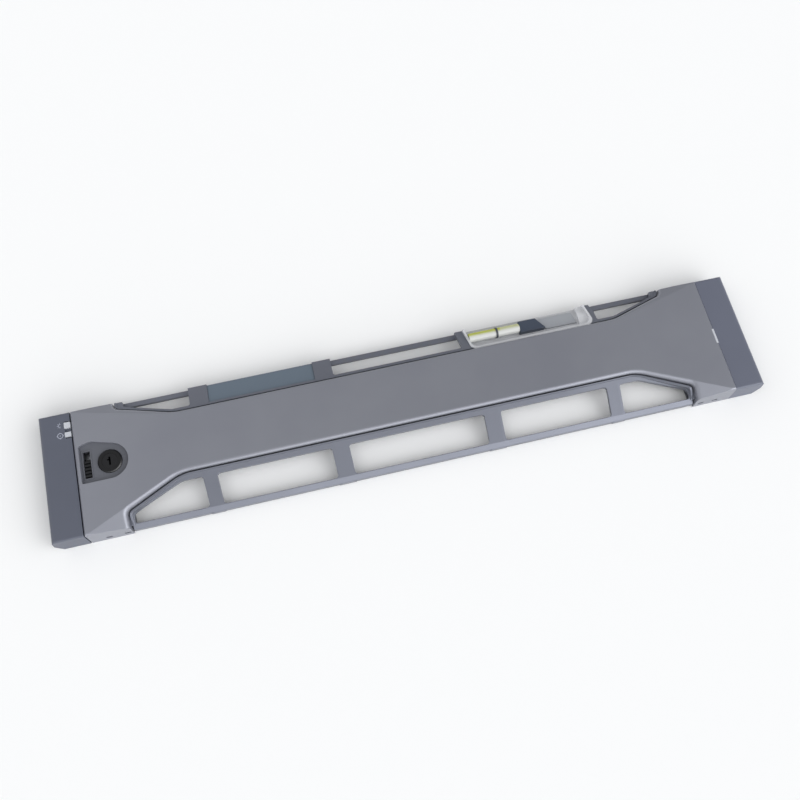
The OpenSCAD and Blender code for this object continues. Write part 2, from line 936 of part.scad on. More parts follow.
module key_plug() {
  color([0.1, 0.1, 0.11])
    difference() {
      union() {
        rod(-lock_x, lock_y, cam_top, ring_top - 1.1, plug_r);
        rod(-lock_x, lock_y, ring_top - 1.2, ring_top - 0.2, plug_head_r);
        box([-lock_x - tail_r, -lock_x + tail_r], [lock_y - tail_r, lock_y + tail_r],
          [cam_top - cam_t + 0.1, cam_top + eps]);
        rod(-lock_x, lock_y, cam_top - cam_t - cam_nut_t, cam_top, stud_r);
      }
      translate([-lock_x, lock_y, depth])
        cube([1.2, 5.6, 12], center = true);
      translate([-lock_x - 0.9, lock_y + 0.9, depth])
        cube([1.4, 1, 12], center = true);
    }
}

module lock_cam() {
  color([0.72, 0.72, 0.72])
    difference() {
      union() {
        rod(-lock_x, lock_y, cam_top - cam_t, cam_top, 4.6);
        box([-lock_x - 3, -lock_x + 3], [lock_y, lock_y + cam_reach], [cam_top - cam_t, cam_top]);
      }
      box([-lock_x - tail_r, -lock_x + tail_r], [lock_y - tail_r, lock_y + tail_r], [0, depth]);
    }
}

module cam_nut() {
  color([0.72, 0.72, 0.72])
    difference() {
      translate([-lock_x, lock_y, cam_top - cam_t - cam_nut_t])
        cylinder(r = 3.4, h = cam_nut_t, $fn = 6);
      rod(-lock_x, lock_y, 0, depth, stud_r + 0.03);
    }
}

// ---------- release latch ----------

module release_slider() {
  w = slot_w - 2 * slider_clearance;
  y0 = slot_y0 + 0.3;
  pitch = slider_l / 5;
  color([0.3, 0.31, 0.33])
    union() {
      box([-slot_x - w / 2, -slot_x + w / 2], [y0, y0 + slider_l], [esc_bot - 2, esc_top - 0.6]);
      for (i = [0:4])
        translate([-slot_x, y0 + (i + 0.5) * pitch, esc_top - 0.6])
          along_x(-w / 2, w / 2)
            polygon([[-0.42 * pitch, -eps], [0.42 * pitch, -eps], [0.2 * pitch, 1.1], [-0.2 * pitch, 1.1]]);
      box([-slot_x - w / 2 - 1.2, -slot_x + w / 2 + 1.2], [y0 - 1.5, y0 + slider_l + 1.5],
        [esc_bot - 1.6, esc_bot - 0.3]);
      box([-slot_x - 1.8, -slot_x + 1.8], [y0 + 2, y0 + slider_l - 2], [latch_top, esc_bot]);
    }
}

module latch_plate() {
  color([0.74, 0.75, 0.76])
    union() {
      box([-slot_x - latch_w / 2, -slot_x + latch_w / 2], [latch_y0, latch_y1], [latch_z, latch_top]);
      box([-slot_x - 2.6, -slot_x + 2.6], [latch_y1 - latch_t, latch_y1], [latch_z, spring_z + spring_r]);
      box([-tongue_x, -slot_x], tongue_y, [latch_z, latch_top]);
      box([-tongue_x, latch_t - tongue_x], tongue_y, [2, latch_top]);
    }
}

spring_turns = 7;
spring_steps = 16;

module latch_spring() {
  n = spring_turns * spring_steps;
  m = 8;
  rc = spring_r - spring_wire / 2;
  rise = (spring_y1 - latch_y1 - spring_wire) / n;
  points = [
    for (i = [0:n], j = [0:m - 1])
      let (a = i * 360 / spring_steps, b = j * 360 / m, r = rc + spring_wire / 2 * cos(b))
      [r * cos(a), spring_wire / 2 + i * rise + spring_wire / 2 * sin(b), r * sin(a)]
  ];
  sides = [
    for (i = [0:n - 1], j = [0:m - 1])
      [i * m + j, (i + 1) * m + j, (i + 1) * m + (j + 1) % m, i * m + (j + 1) % m]
  ];
  ends = [[for (j = [0:m - 1]) j], [for (j = [m - 1:-1:0]) n * m + j]];
  color([0.8, 0.8, 0.82])
    translate([-slot_x, latch_y1, spring_z])
      polyhedron(points, concat(sides, ends), convexity = 10);
}

module latch_guide() {
  x0 = -slot_x - latch_w / 2;
  x1 = -slot_x + latch_w / 2;
  color([0.2, 0.21, 0.23])
    difference() {
      union() {
        box([x0 - 1.4, x1 + 1.4], [guide_y0, guide_y1], [guide_floor, latch_z]);
        box([x0 - 1.4, x0 - 0.1], [guide_y0, spring_y1 - 1], [guide_floor, latch_top + 0.4]);
        box([x1 + 0.1, x1 + 1.4], [guide_y0, spring_y1 - 1], [guide_floor, latch_top + 0.4]);
        box([-slot_x - 3, -slot_x + 3], [spring_y1, spring_y1 + 2], [guide_floor, spring_z + spring_r + 0.3]);
      }
      box([x0 - 3, x0], [tongue_y[0] - 0.8, tongue_y[1] + latch_travel + 0.8], [latch_z, depth]);
      box([-slot_x - 2.2, -slot_x + 2.2], [latch_y0 + 4, latch_y1 - 5], [0, latch_z + 1]);
      for (y = guide_boss_y)
        rod(-slot_x, y, 0, depth, screw_r);
    }
}

module latch_guide_screws() {
  color([0.75, 0.75, 0.77])
    for (y = guide_boss_y)
      screw(-slot_x, y, guide_floor, guide_floor + 6.6);
}

// ---------- fixed hooks and screws ----------

module hook_plate() {
  color([0.74, 0.75, 0.76])
    difference() {
      union() {
        box([hook_screw_x - 6, fas_x - wall - 2], [-20, 20], [plate_top, plate_top + 1.4]);
        for (s = [-1, 1])
          translate([0, s * hook_screw_y, 0]) {
            box([fas_x - wall - 3, right_in + 12.4], [-4, 4], [plate_top, plate_top + 1.4]);
            box([right_in + 11, right_in + 12.4], [-4, 4], [1, plate_top + 1.4]);
          }
      }
      for (s = [-1, 1])
        rod(hook_screw_x, s * hook_screw_y, 0, depth, screw_r);
    }
}

module hook_screws() {
  color([0.75, 0.75, 0.77])
    for (s = [-1, 1])
      screw(hook_screw_x, s * hook_screw_y, plate_bot, plate_top + 2);
}

module fascia_screws() {
  color([0.75, 0.75, 0.77])
    for (x = fascia_screw_x)
      screw(x, fascia_screw_y, web_bot, face_in - 1.6);
}

module frame_screws() {
  color([0.75, 0.75, 0.77])
    both_ways()
      for (s = [-1, 1])
        screw(frame_screw_x, s * frame_screw_y, plate_bot, web_top - 1);
}

module cap_screws() {
  color([0.75, 0.75, 0.77])
    both_ways()
      for (s = [-1, 1])
        screw(cap_screw_x, s * cap_screw_y, plate_bot, plate_top + 6);
}

// ---------- status window ----------

module status_tray() {
  color([0.9, 0.92, 0.94, 0.5])
    difference() {
      translate([0, 0, bay_floor])
        linear_extrude(tray_top - bay_floor)
          intersection() {
            bay_plan();
            square([width, 2 * tray_out], center = true);
          }
      translate([0, 0, bay_floor + tray_t])
        linear_extrude(depth)
          difference() {
            bay_plan(tray_rim);
            translate([reflector_x1 + 1.4, 0])
              square([20, 60]);
          }
      translate([0, 0, tray_top - 2.4])
        linear_extrude(depth)
          intersection() {
            bay_plan(tray_rim);
            translate([reflector_x1, 0])
              square([20, 60]);
          }
    }
}

module light_guide_rod() {
  color([0.78, 0.84, 0.35, 0.7])
    translate([guide_x0, guide_y, guide_z])
      rotate([0, 90, 0])
        union() {
          cylinder(r = guide_r, h = guide_x1 - guide_x0 - 0.8);
          translate([0, 0, guide_x1 - guide_x0 - 0.8 - eps])
            cylinder(r1 = guide_r, r2 = guide_r - 0.8, h = 0.8);
        }
}

module guide_collar() {
  color([0.2, 0.21, 0.22])
    translate([collar_x, guide_y, guide_z])
      rotate([0, 90, 0])
        difference() {
          cylinder(r = collar_r, h = 1.4, center = true);
          cylinder(r = guide_r, h = 3, center = true);
        }
}

module lamp_block() {
  color([0.2, 0.22, 0.27])
    translate([0, 0, bay_floor + tray_t])
      linear_extrude(5)
        polygon([
          [guide_x1, bits_y0], [lamp_x1, bits_y0], [lamp_x1 - 5.6, bits_y1], [guide_x1, bits_y1]
        ]);
}

module reflector_plate() {
  color([0.6, 0.61, 0.63])
    translate([0, 0, bay_floor + tray_t])
      linear_extrude(1.6)
        polygon([
          [lamp_x1 + 1.4, bits_y0], [reflector_x1, bits_y0],
          [reflector_x1 - 2, bits_y1], [lamp_x1 - 4.2, bits_y1]
        ]);
}

// ---------- output ----------

front_fascia();
grille_frame();
rear_frame();
left_end_cap();
right_end_cap();
nameplate();
lock_escutcheon();
lock_body();
lock_nut();
key_plug();
lock_cam();
cam_nut();
release_slider();
latch_plate();
latch_spring();
latch_guide();
latch_guide_screws();
hook_plate();
hook_screws();
fascia_screws();
frame_screws();
cap_screws();
upper_light_pipe();
lower_light_pipe();
side_light_pipe();
status_tray();
light_guide_rod();
guide_collar();
lamp_block();
reflector_plate();
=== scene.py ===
"""Dresses and lights a two-unit server front bezel that lies on a pale table."""

import logging
import math
from dataclasses import dataclass, field
from enum import Enum
from typing import Any

import bmesh
import bpy
from mathutils import Euler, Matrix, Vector


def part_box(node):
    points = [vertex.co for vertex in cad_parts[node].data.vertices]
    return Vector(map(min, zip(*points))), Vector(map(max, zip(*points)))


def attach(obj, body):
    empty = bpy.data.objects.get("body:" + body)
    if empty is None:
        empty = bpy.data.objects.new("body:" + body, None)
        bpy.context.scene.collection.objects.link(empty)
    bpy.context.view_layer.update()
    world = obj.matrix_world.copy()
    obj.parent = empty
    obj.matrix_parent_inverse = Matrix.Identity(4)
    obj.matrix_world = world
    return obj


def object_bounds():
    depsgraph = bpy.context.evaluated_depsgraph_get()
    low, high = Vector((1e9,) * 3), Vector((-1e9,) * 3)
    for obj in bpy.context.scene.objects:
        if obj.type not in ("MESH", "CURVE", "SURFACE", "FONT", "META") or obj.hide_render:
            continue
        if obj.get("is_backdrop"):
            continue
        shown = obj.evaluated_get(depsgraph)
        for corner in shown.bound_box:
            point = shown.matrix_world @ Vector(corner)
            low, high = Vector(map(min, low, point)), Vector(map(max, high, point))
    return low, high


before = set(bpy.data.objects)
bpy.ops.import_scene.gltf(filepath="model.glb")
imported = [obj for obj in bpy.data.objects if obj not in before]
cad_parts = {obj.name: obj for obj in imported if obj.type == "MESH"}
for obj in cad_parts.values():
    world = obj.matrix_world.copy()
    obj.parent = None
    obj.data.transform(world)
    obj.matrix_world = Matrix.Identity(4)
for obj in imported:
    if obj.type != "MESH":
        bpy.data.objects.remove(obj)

log = logging.getLogger("bezel")
MM = 0.001


# ---------- colour and node helpers ----------


def linear(hex_colour: str, alpha: float = 1.0) -> tuple[float, float, float, float]:
    """Turns an sRGB hex colour into linear red, green, blue and alpha.

    Args:
        hex_colour: Six hex digits, with or without a leading hash.
        alpha: The fourth value.

    Returns:
        The colour as Blender's shaders want it.
    """
    digits = hex_colour.lstrip("#")
    values = [int(digits[i:i + 2], 16) / 255 for i in (0, 2, 4)]
    red, green, blue = (
        v / 12.92 if v <= 0.04045 else ((v + 0.055) / 1.055) ** 2.4 for v in values
    )
    return red, green, blue, alpha


def add_node(
    tree: bpy.types.NodeTree,
    kind: str,
    settings: dict[str, Any] | None = None,
    inputs: dict[str | int, Any] | None = None,
    links: dict[str | int, bpy.types.NodeSocket] | None = None,
) -> bpy.types.Node:
    """Adds one shader node with its settings, socket values and incoming links.

    Args:
        tree: The node tree to add to.
        kind: The node's type name.
        settings: Attributes set on the node itself.
        inputs: Socket name or number to a value.
        links: Socket name or number to the output that feeds it.

    Returns:
        The new node.
    """
    made = tree.nodes.new(kind)
    for key, value in (settings or {}).items():
        setattr(made, key, value)
    for key, value in (inputs or {}).items():
        made.inputs[key].default_value = value
    for key, source in (links or {}).items():
        tree.links.new(source, made.inputs[key])
    return made


def fresh_material(name: str) -> tuple[bpy.types.Material, bpy.types.NodeTree]:
    """Makes an empty node material.

    Args:
        name: The material's name.

    Returns:
        The material and its cleared node tree.
    """
    material = bpy.data.materials.new(name)
    material.use_nodes = True
    material.node_tree.nodes.clear()
    return material, material.node_tree


# ---------- finishes ----------


@dataclass(frozen=True)
class GrainedPlastic:
    """Injection moulded ABS, bare or under a satin lacquer with fine metal flake.

    The mould's grain makes it satin and faintly uneven, and the flake lifts its highlights.
    """

    name: str
    colour: str
    shade: str
    roughness: float = 0.46
    grain_mm: float = 0.45
    grain_depth_mm: float = 0.012
    metallic: float = 0.0
    edge_mm: float = 0.35

    def material(self) -> bpy.types.Material:
        """Builds the grained satin material."""
        material, tree = fresh_material(self.name)
        place = add_node(tree, "ShaderNodeTexCoord").outputs["Object"]
        # flow marks of the mould, some 60 mm long, barely darker than the rest
        cloud = add_node(
            tree, "ShaderNodeTexNoise",
            inputs={"Scale": 16.0, "Detail": 3.0, "Roughness": 0.55}, links={"Vector": place},
        )
        tone = add_node(
            tree, "ShaderNodeMapRange",
            inputs={"From Min": 0.3, "From Max": 0.7, "To Min": 0.0, "To Max": 1.0},
            links={"Value": cloud.outputs["Fac"]},
        )
        colour = add_node(
            tree, "ShaderNodeMix", settings={"data_type": "RGBA"},
            inputs={"A": linear(self.colour), "B": linear(self.shade)},
            links={"Factor": tone.outputs["Result"]},
        )
        # the grain itself: real pits are about 0.1 mm, drawn at grain_mm so that they still show
        grain = add_node(
            tree, "ShaderNodeTexNoise",
            inputs={"Scale": 1 / (self.grain_mm * MM), "Detail": 2.0, "Roughness": 0.6},
            links={"Vector": place},
        )
        rough = add_node(
            tree, "ShaderNodeMapRange",
            inputs={"To Min": self.roughness - 0.05, "To Max": self.roughness + 0.05},
            links={"Value": grain.outputs["Fac"]},
        )
        # moulded corners are never sharp: they catch the light over edge_mm
        edge = add_node(
            tree, "ShaderNodeBevel", settings={"samples": 6}, inputs={"Radius": self.edge_mm * MM},
        )
        bump = add_node(
            tree, "ShaderNodeBump",
            inputs={"Strength": 0.35, "Distance": self.grain_depth_mm * MM},
            links={"Height": grain.outputs["Fac"], "Normal": edge.outputs["Normal"]},
        )
        skin = add_node(
            tree, "ShaderNodeBsdfPrincipled",
            inputs={"IOR": 1.52, "Metallic": self.metallic},
            links={
                "Base Color": colour.outputs["Result"],
                "Roughness": rough.outputs["Result"],
                "Normal": bump.outputs["Normal"],
            },
        )
        add_node(tree, "ShaderNodeOutputMaterial", links={"Surface": skin.outputs["BSDF"]})
        return material


@dataclass(frozen=True)
class GlossPlastic:
    """Moulded glass-filled nylon, semi-gloss black: crisp highlights over a soft orange peel."""

    name: str
    colour: str
    roughness: float = 0.24
    peel_mm: float = 1.6

    def material(self) -> bpy.types.Material:
        """Builds the semi-gloss material."""
        material, tree = fresh_material(self.name)
        place = add_node(tree, "ShaderNodeTexCoord").outputs["Object"]
        peel = add_node(
            tree, "ShaderNodeTexNoise",
            inputs={"Scale": 1 / (self.peel_mm * MM), "Detail": 1.0}, links={"Vector": place},
        )
        rough = add_node(
            tree, "ShaderNodeMapRange",
            inputs={"To Min": self.roughness - 0.06, "To Max": self.roughness + 0.08},
            links={"Value": peel.outputs["Fac"]},
        )
        bump = add_node(
            tree, "ShaderNodeBump", inputs={"Strength": 0.2, "Distance": 0.02 * MM},
            links={"Height": peel.outputs["Fac"]},
        )
        skin = add_node(
            tree, "ShaderNodeBsdfPrincipled",
            inputs={"Base Color": linear(self.colour), "IOR": 1.53},
            links={"Roughness": rough.outputs["Result"], "Normal": bump.outputs["Normal"]},
        )
        add_node(tree, "ShaderNodeOutputMaterial", links={"Surface": skin.outputs["BSDF"]})
        return material


@dataclass(frozen=True)
class ClearPlastic:
    """Polished clear polycarbonate: nearly invisible over the table, with bright faces; its bright edges are
    a painted reflection, drawn more opaque and pale where the surface turns from the view.
    """

    name: str
    colour: str
    alpha: float
    roughness: float = 0.1

    def material(self) -> bpy.types.Material:
        """Builds the see-through material."""
        material, tree = fresh_material(self.name)
        place = add_node(tree, "ShaderNodeTexCoord").outputs["Object"]
        haze = add_node(
            tree, "ShaderNodeTexNoise", inputs={"Scale": 220.0, "Detail": 2.0}, links={"Vector": place},
        )
        rough = add_node(
            tree, "ShaderNodeMapRange",
            inputs={"To Min": self.roughness * 0.7, "To Max": self.roughness * 1.4},
            links={"Value": haze.outputs["Fac"]},
        )
        # painted reflection: more opaque, so paler, where the surface turns away from the view
        edge = add_node(tree, "ShaderNodeLayerWeight", inputs={"Blend": 0.35})
        painted_edge_sheen = add_node(
            tree, "ShaderNodeMapRange",
            inputs={"To Min": self.alpha, "To Max": min(1.0, self.alpha + 0.45)},
            links={"Value": edge.outputs["Facing"]},
        )
        skin = add_node(
            tree, "ShaderNodeBsdfPrincipled",
            inputs={"Base Color": linear(self.colour), "IOR": 1.58},
            links={"Roughness": rough.outputs["Result"], "Alpha": painted_edge_sheen.outputs["Result"]},
        )
        add_node(tree, "ShaderNodeOutputMaterial", links={"Surface": skin.outputs["BSDF"]})
        return material


@dataclass(frozen=True)
class TintedRod:
    """Cast acrylic rod, tinted yellow-green and wet-looking; its darker yellow-green top and pale lower half
    are painted light, standing for the light seen through the clear rod.
    """

    name: str
    tint: str
    painted_light_below: str
    middle_mm: float
    blend_mm: float = 1.2
    pale_from_mm: float = 73.0

    def material(self) -> bpy.types.Material:
        """Builds the acrylic material, two-toned by painted light."""
        material, tree = fresh_material(self.name)
        place = add_node(tree, "ShaderNodeTexCoord").outputs["Object"]
        axes = add_node(tree, "ShaderNodeSeparateXYZ", links={"Vector": place})
        half = add_node(
            tree, "ShaderNodeMapRange", settings={"interpolation_type": "SMOOTHSTEP"},
            inputs={
                "From Min": (self.middle_mm - self.blend_mm) * MM,
                "From Max": (self.middle_mm + self.blend_mm) * MM,
            },
            links={"Value": axes.outputs["Y"]},
        )
        # past the collar the painted yellow-green of the top is weaker
        far = add_node(
            tree, "ShaderNodeMapRange",
            inputs={
                "From Min": self.pale_from_mm * MM, "From Max": (self.pale_from_mm + 1) * MM,
                "To Min": 1.0, "To Max": 0.55,
            },
            links={"Value": axes.outputs["X"]},
        )
        share = add_node(
            tree, "ShaderNodeMath", settings={"operation": "MULTIPLY"},
            links={0: half.outputs["Result"], 1: far.outputs["Result"]},
        )
        # painted light: pale below the middle, yellow-green above, for the light through the clear rod
        colour = add_node(
            tree, "ShaderNodeMix", settings={"data_type": "RGBA"},
            inputs={"A": linear(self.painted_light_below), "B": linear(self.tint)},
            links={"Factor": share.outputs["Value"]},
        )
        skin = add_node(
            tree, "ShaderNodeBsdfPrincipled", inputs={"Roughness": 0.12, "IOR": 1.49},
            links={"Base Color": colour.outputs["Result"]},
        )
        add_node(tree, "ShaderNodeOutputMaterial", links={"Surface": skin.outputs["BSDF"]})
        return material


@dataclass(frozen=True)
class SprayedPaint:
    """Sprayed enamel on a thin metal plate: even and smooth, with a fine mist in its gloss."""

    name: str
    colour: str
    roughness: float = 0.34

    def material(self) -> bpy.types.Material:
        """Builds the painted material."""
        material, tree = fresh_material(self.name)
        place = add_node(tree, "ShaderNodeTexCoord").outputs["Object"]
        mist = add_node(
            tree, "ShaderNodeTexNoise",
            inputs={"Scale": 1 / (0.5 * MM), "Detail": 2.0}, links={"Vector": place},
        )
        rough = add_node(
            tree, "ShaderNodeMapRange",
            inputs={"To Min": self.roughness - 0.04, "To Max": self.roughness + 0.04},
            links={"Value": mist.outputs["Fac"]},
        )
        bump = add_node(
            tree, "ShaderNodeBump", inputs={"Strength": 0.25, "Distance": 0.008 * MM},
            links={"Height": mist.outputs["Fac"]},
        )
        skin = add_node(
            tree, "ShaderNodeBsdfPrincipled",
            inputs={"Base Color": linear(self.colour), "IOR": 1.5},
            links={"Roughness": rough.outputs["Result"], "Normal": bump.outputs["Normal"]},
        )
        add_node(tree, "ShaderNodeOutputMaterial", links={"Surface": skin.outputs["BSDF"]})
        return material


@dataclass(frozen=True)
class ZincSteel:
    """Rolled steel with a thin zinc coat: grey, slightly blue, with rolling lines along its length."""

    name: str
    colour: str = "#B9BCC0"
    roughness: float = 0.36

    def material(self) -> bpy.types.Material:
        """Builds the zinc-coated steel material."""
        material, tree = fresh_material(self.name)
        place = add_node(tree, "ShaderNodeTexCoord").outputs["Object"]
        # rolling lines are finer than 0.1 mm; they are drawn about 0.3 mm apart
        stretched = add_node(
            tree, "ShaderNodeMapping", inputs={"Scale": (400.0, 3200.0, 3200.0)}, links={"Vector": place},
        )
        lines = add_node(
            tree, "ShaderNodeTexNoise", inputs={"Scale": 1.0, "Detail": 2.0},
            links={"Vector": stretched.outputs["Vector"]},
        )
        rough = add_node(
            tree, "ShaderNodeMapRange",
            inputs={"To Min": self.roughness - 0.08, "To Max": self.roughness + 0.1},
            links={"Value": lines.outputs["Fac"]},
        )
        bump = add_node(
            tree, "ShaderNodeBump", inputs={"Strength": 0.2, "Distance": 0.006 * MM},
            links={"Height": lines.outputs["Fac"]},
        )
        skin = add_node(
            tree, "ShaderNodeBsdfPrincipled",
            inputs={"Base Color": linear(self.colour), "Metallic": 1.0},
            links={"Roughness": rough.outputs["Result"], "Normal": bump.outputs["Normal"]},
        )
        add_node(tree, "ShaderNodeOutputMaterial", links={"Surface": skin.outputs["BSDF"]})
        return material


@dataclass(frozen=True)
class PadPrint:
    """Pad-printed ink, a few hundredths of a millimetre thick and slightly broken where the grain is deep."""

    name: str
    colour: str

    def material(self) -> bpy.types.Material:
        """Builds the printed ink material."""
        material, tree = fresh_material(self.name)
        place = add_node(tree, "ShaderNodeTexCoord").outputs["Object"]
        speckle = add_node(
            tree, "ShaderNodeTexNoise",
            inputs={"Scale": 1 / (0.25 * MM), "Detail": 1.0}, links={"Vector": place},
        )
        rough = add_node(
            tree, "ShaderNodeMapRange", inputs={"To Min": 0.45, "To Max": 0.7},
            links={"Value": speckle.outputs["Fac"]},
        )
        skin = add_node(
            tree, "ShaderNodeBsdfPrincipled",
            inputs={"Base Color": linear(self.colour), "IOR": 1.48},
            links={"Roughness": rough.outputs["Result"]},
        )
        add_node(tree, "ShaderNodeOutputMaterial", links={"Surface": skin.outputs["BSDF"]})
        return material


@dataclass(frozen=True)
class TableTop:
    """Matt pale laminate, so smooth that only the shadow on it shows."""

    name: str = "table matt laminate"
    colour: str = "#F7F7F6"

    def material(self) -> bpy.types.Material:
        """Builds the table's material."""
        material, tree = fresh_material(self.name)
        place = add_node(tree, "ShaderNodeTexCoord").outputs["Object"]
        mottle = add_node(
            tree, "ShaderNodeTexNoise", inputs={"Scale": 7.0, "Detail": 2.0}, links={"Vector": place},
        )
        rough = add_node(
            tree, "ShaderNodeMapRange", inputs={"To Min": 0.75, "To Max": 0.85},
            links={"Value": mottle.outputs["Fac"]},
        )
        skin = add_node(
            tree, "ShaderNodeBsdfPrincipled",
            inputs={"Base Color": linear(self.colour), "Specular IOR Level": 0.1},
            links={"Roughness": rough.outputs["Result"]},
        )
        add_node(tree, "ShaderNodeOutputMaterial", links={"Surface": skin.outputs["BSDF"]})
        return material


class Finish(Enum):
    """Every finish on the bezel and under it."""

    FASCIA = GrainedPlastic("fascia silver-grey satin lacquer", "#93959D", "#8C8E97", 0.36, metallic=0.5)
    GRILLE = GrainedPlastic("grille grey satin lacquer", "#7B7E88", "#757882", 0.36, metallic=0.5)
    FRAME = GrainedPlastic("rear frame near-black moulded ABS", "#44474E", "#40434A", 0.5)
    # painted light: both caps are the same slate ABS, the left drawn darker and the right lighter, as the
    # light falls from the right
    LEFT_CAP_SHADED = GrainedPlastic("left cap slate moulded ABS", "#585C69", "#545864", 0.4)
    RIGHT_CAP_LIT = GrainedPlastic("right cap slate moulded ABS", "#646876", "#606472", 0.4)
    SURROUND = GrainedPlastic("lock surround grey moulded ABS", "#5E6067", "#5A5C63", 0.42)
    SLIDER = GlossPlastic("slider black polished nylon", "#101114", 0.18)
    LAMP = GrainedPlastic("lamp holder slate moulded nylon", "#3E4654", "#3A4250", 0.4)
    REFLECTOR = GrainedPlastic("reflector light grey moulded ABS", "#9A9DA2", "#96999E", 0.4)
    LOCK_BLACK = GlossPlastic("lock semi-gloss black nylon", "#08080B", 0.16)
    PLUG = GlossPlastic("key plug dark lacquer", "#0B0B0F", 0.2)
    PLATE = SprayedPaint("nameplate slate enamel", "#64707C")
    CLEAR = ClearPlastic("clear polycarbonate", "#E6E7EA", 0.62, 0.2)
    PIPE = ClearPlastic("frosted light pipe polycarbonate", "#C9CCD2", 0.9, 0.3)
    # the rod's yellow-green top and pale lower half are painted light through the clear acrylic
    TINTED = TintedRod("yellow-green light guide acrylic", "#B5BA4E", "#C9CAC6", 36.4)
    STEEL = ZincSteel("zinc-coated steel")
    INK = PadPrint("pale pad-printed ink", "#A9ADBB")
    TABLE = TableTop()


class FinishShelf:
    """Keeps one Blender material for each finish."""

    def __init__(self) -> None:
        """Starts with no material made."""
        self._made: dict[Finish, bpy.types.Material] = {}

    def get(self, finish: Finish) -> bpy.types.Material:
        """Returns the finish's material, made at its first use."""
        if finish not in self._made:
            self._made[finish] = finish.value.material()
        return self._made[finish]


# ---------- the dressed part ----------


def cad_object(node: str) -> bpy.types.Object:
    """Finds the Blender object of a CAD node.

    Args:
        node: The node's name.

    Returns:
        Its object.
    """
    return bpy.data.objects[node]


def dress(node: str, material: bpy.types.Material) -> None:
    """Gives a CAD node one material in all its slots.

    Args:
        node: The node's name.
        material: The material it wears.
    """
    mesh = cad_object(node).data
    if not mesh.materials:
        mesh.materials.append(material)
    for slot in range(len(mesh.materials)):
        mesh.materials[slot] = material


def piece_from(mesh_data: bmesh.types.BMesh, name: str, material: bpy.types.Material) -> bpy.types.Object:
    """Turns a bmesh into an object with a material.

    Args:
        mesh_data: The finished bmesh, which is freed.
        name: The piece's name.
        material: The material it wears.

    Returns:
        The new object, linked to the scene.
    """
    mesh = bpy.data.meshes.new(name)
    bmesh.ops.recalc_face_normals(mesh_data, faces=mesh_data.faces)
    mesh_data.to_mesh(mesh)
    mesh_data.free()
    made = bpy.data.objects.new(name, mesh)
    bpy.context.scene.collection.objects.link(made)
    mesh.materials.append(material)
    return made


@dataclass
class PlainNodes:
    """The CAD nodes whose shape is right as it is, and the finish that each one wears."""

    wear: dict[str, Finish] = field(default_factory=lambda: {
        "front_fascia": Finish.FASCIA,
        "grille_frame": Finish.GRILLE,
        "rear_frame": Finish.FRAME,
        # the caps wear a shaded and a lit copy of one slate ABS: painted light
        "left_end_cap": Finish.LEFT_CAP_SHADED,
        "right_end_cap": Finish.RIGHT_CAP_LIT,
        "nameplate": Finish.PLATE,
        "lock_escutcheon": Finish.SURROUND,
        "lock_body": Finish.LOCK_BLACK,
        "lock_nut": Finish.STEEL,
        "key_plug": Finish.PLUG,
        "lock_cam": Finish.STEEL,
        "cam_nut": Finish.STEEL,
        "release_slider": Finish.SLIDER,
        "latch_plate": Finish.STEEL,
        "latch_spring": Finish.STEEL,
        "latch_guide": Finish.FRAME,
        "latch_guide_screws": Finish.STEEL,
        "hook_plate": Finish.STEEL,
        "hook_screws": Finish.STEEL,
        "fascia_screws": Finish.STEEL,
        "frame_screws": Finish.STEEL,
        "cap_screws": Finish.STEEL,
        "upper_light_pipe": Finish.PIPE,
        "lower_light_pipe": Finish.PIPE,
        "side_light_pipe": Finish.PIPE,
        "status_tray": Finish.CLEAR,
        "light_guide_rod": Finish.TINTED,
        "guide_collar": Finish.FRAME,
        "lamp_block": Finish.LAMP,
        "reflector_plate": Finish.REFLECTOR,
    })

    def dress(self, shelf: FinishShelf) -> int:
        """Dresses every node.

        Args:
            shelf: Where the materials are kept.

        Returns:
            How many nodes were dressed.
        """
        for node, finish in self.wear.items():
            dress(node, shelf.get(finish))
        return len(self.wear)


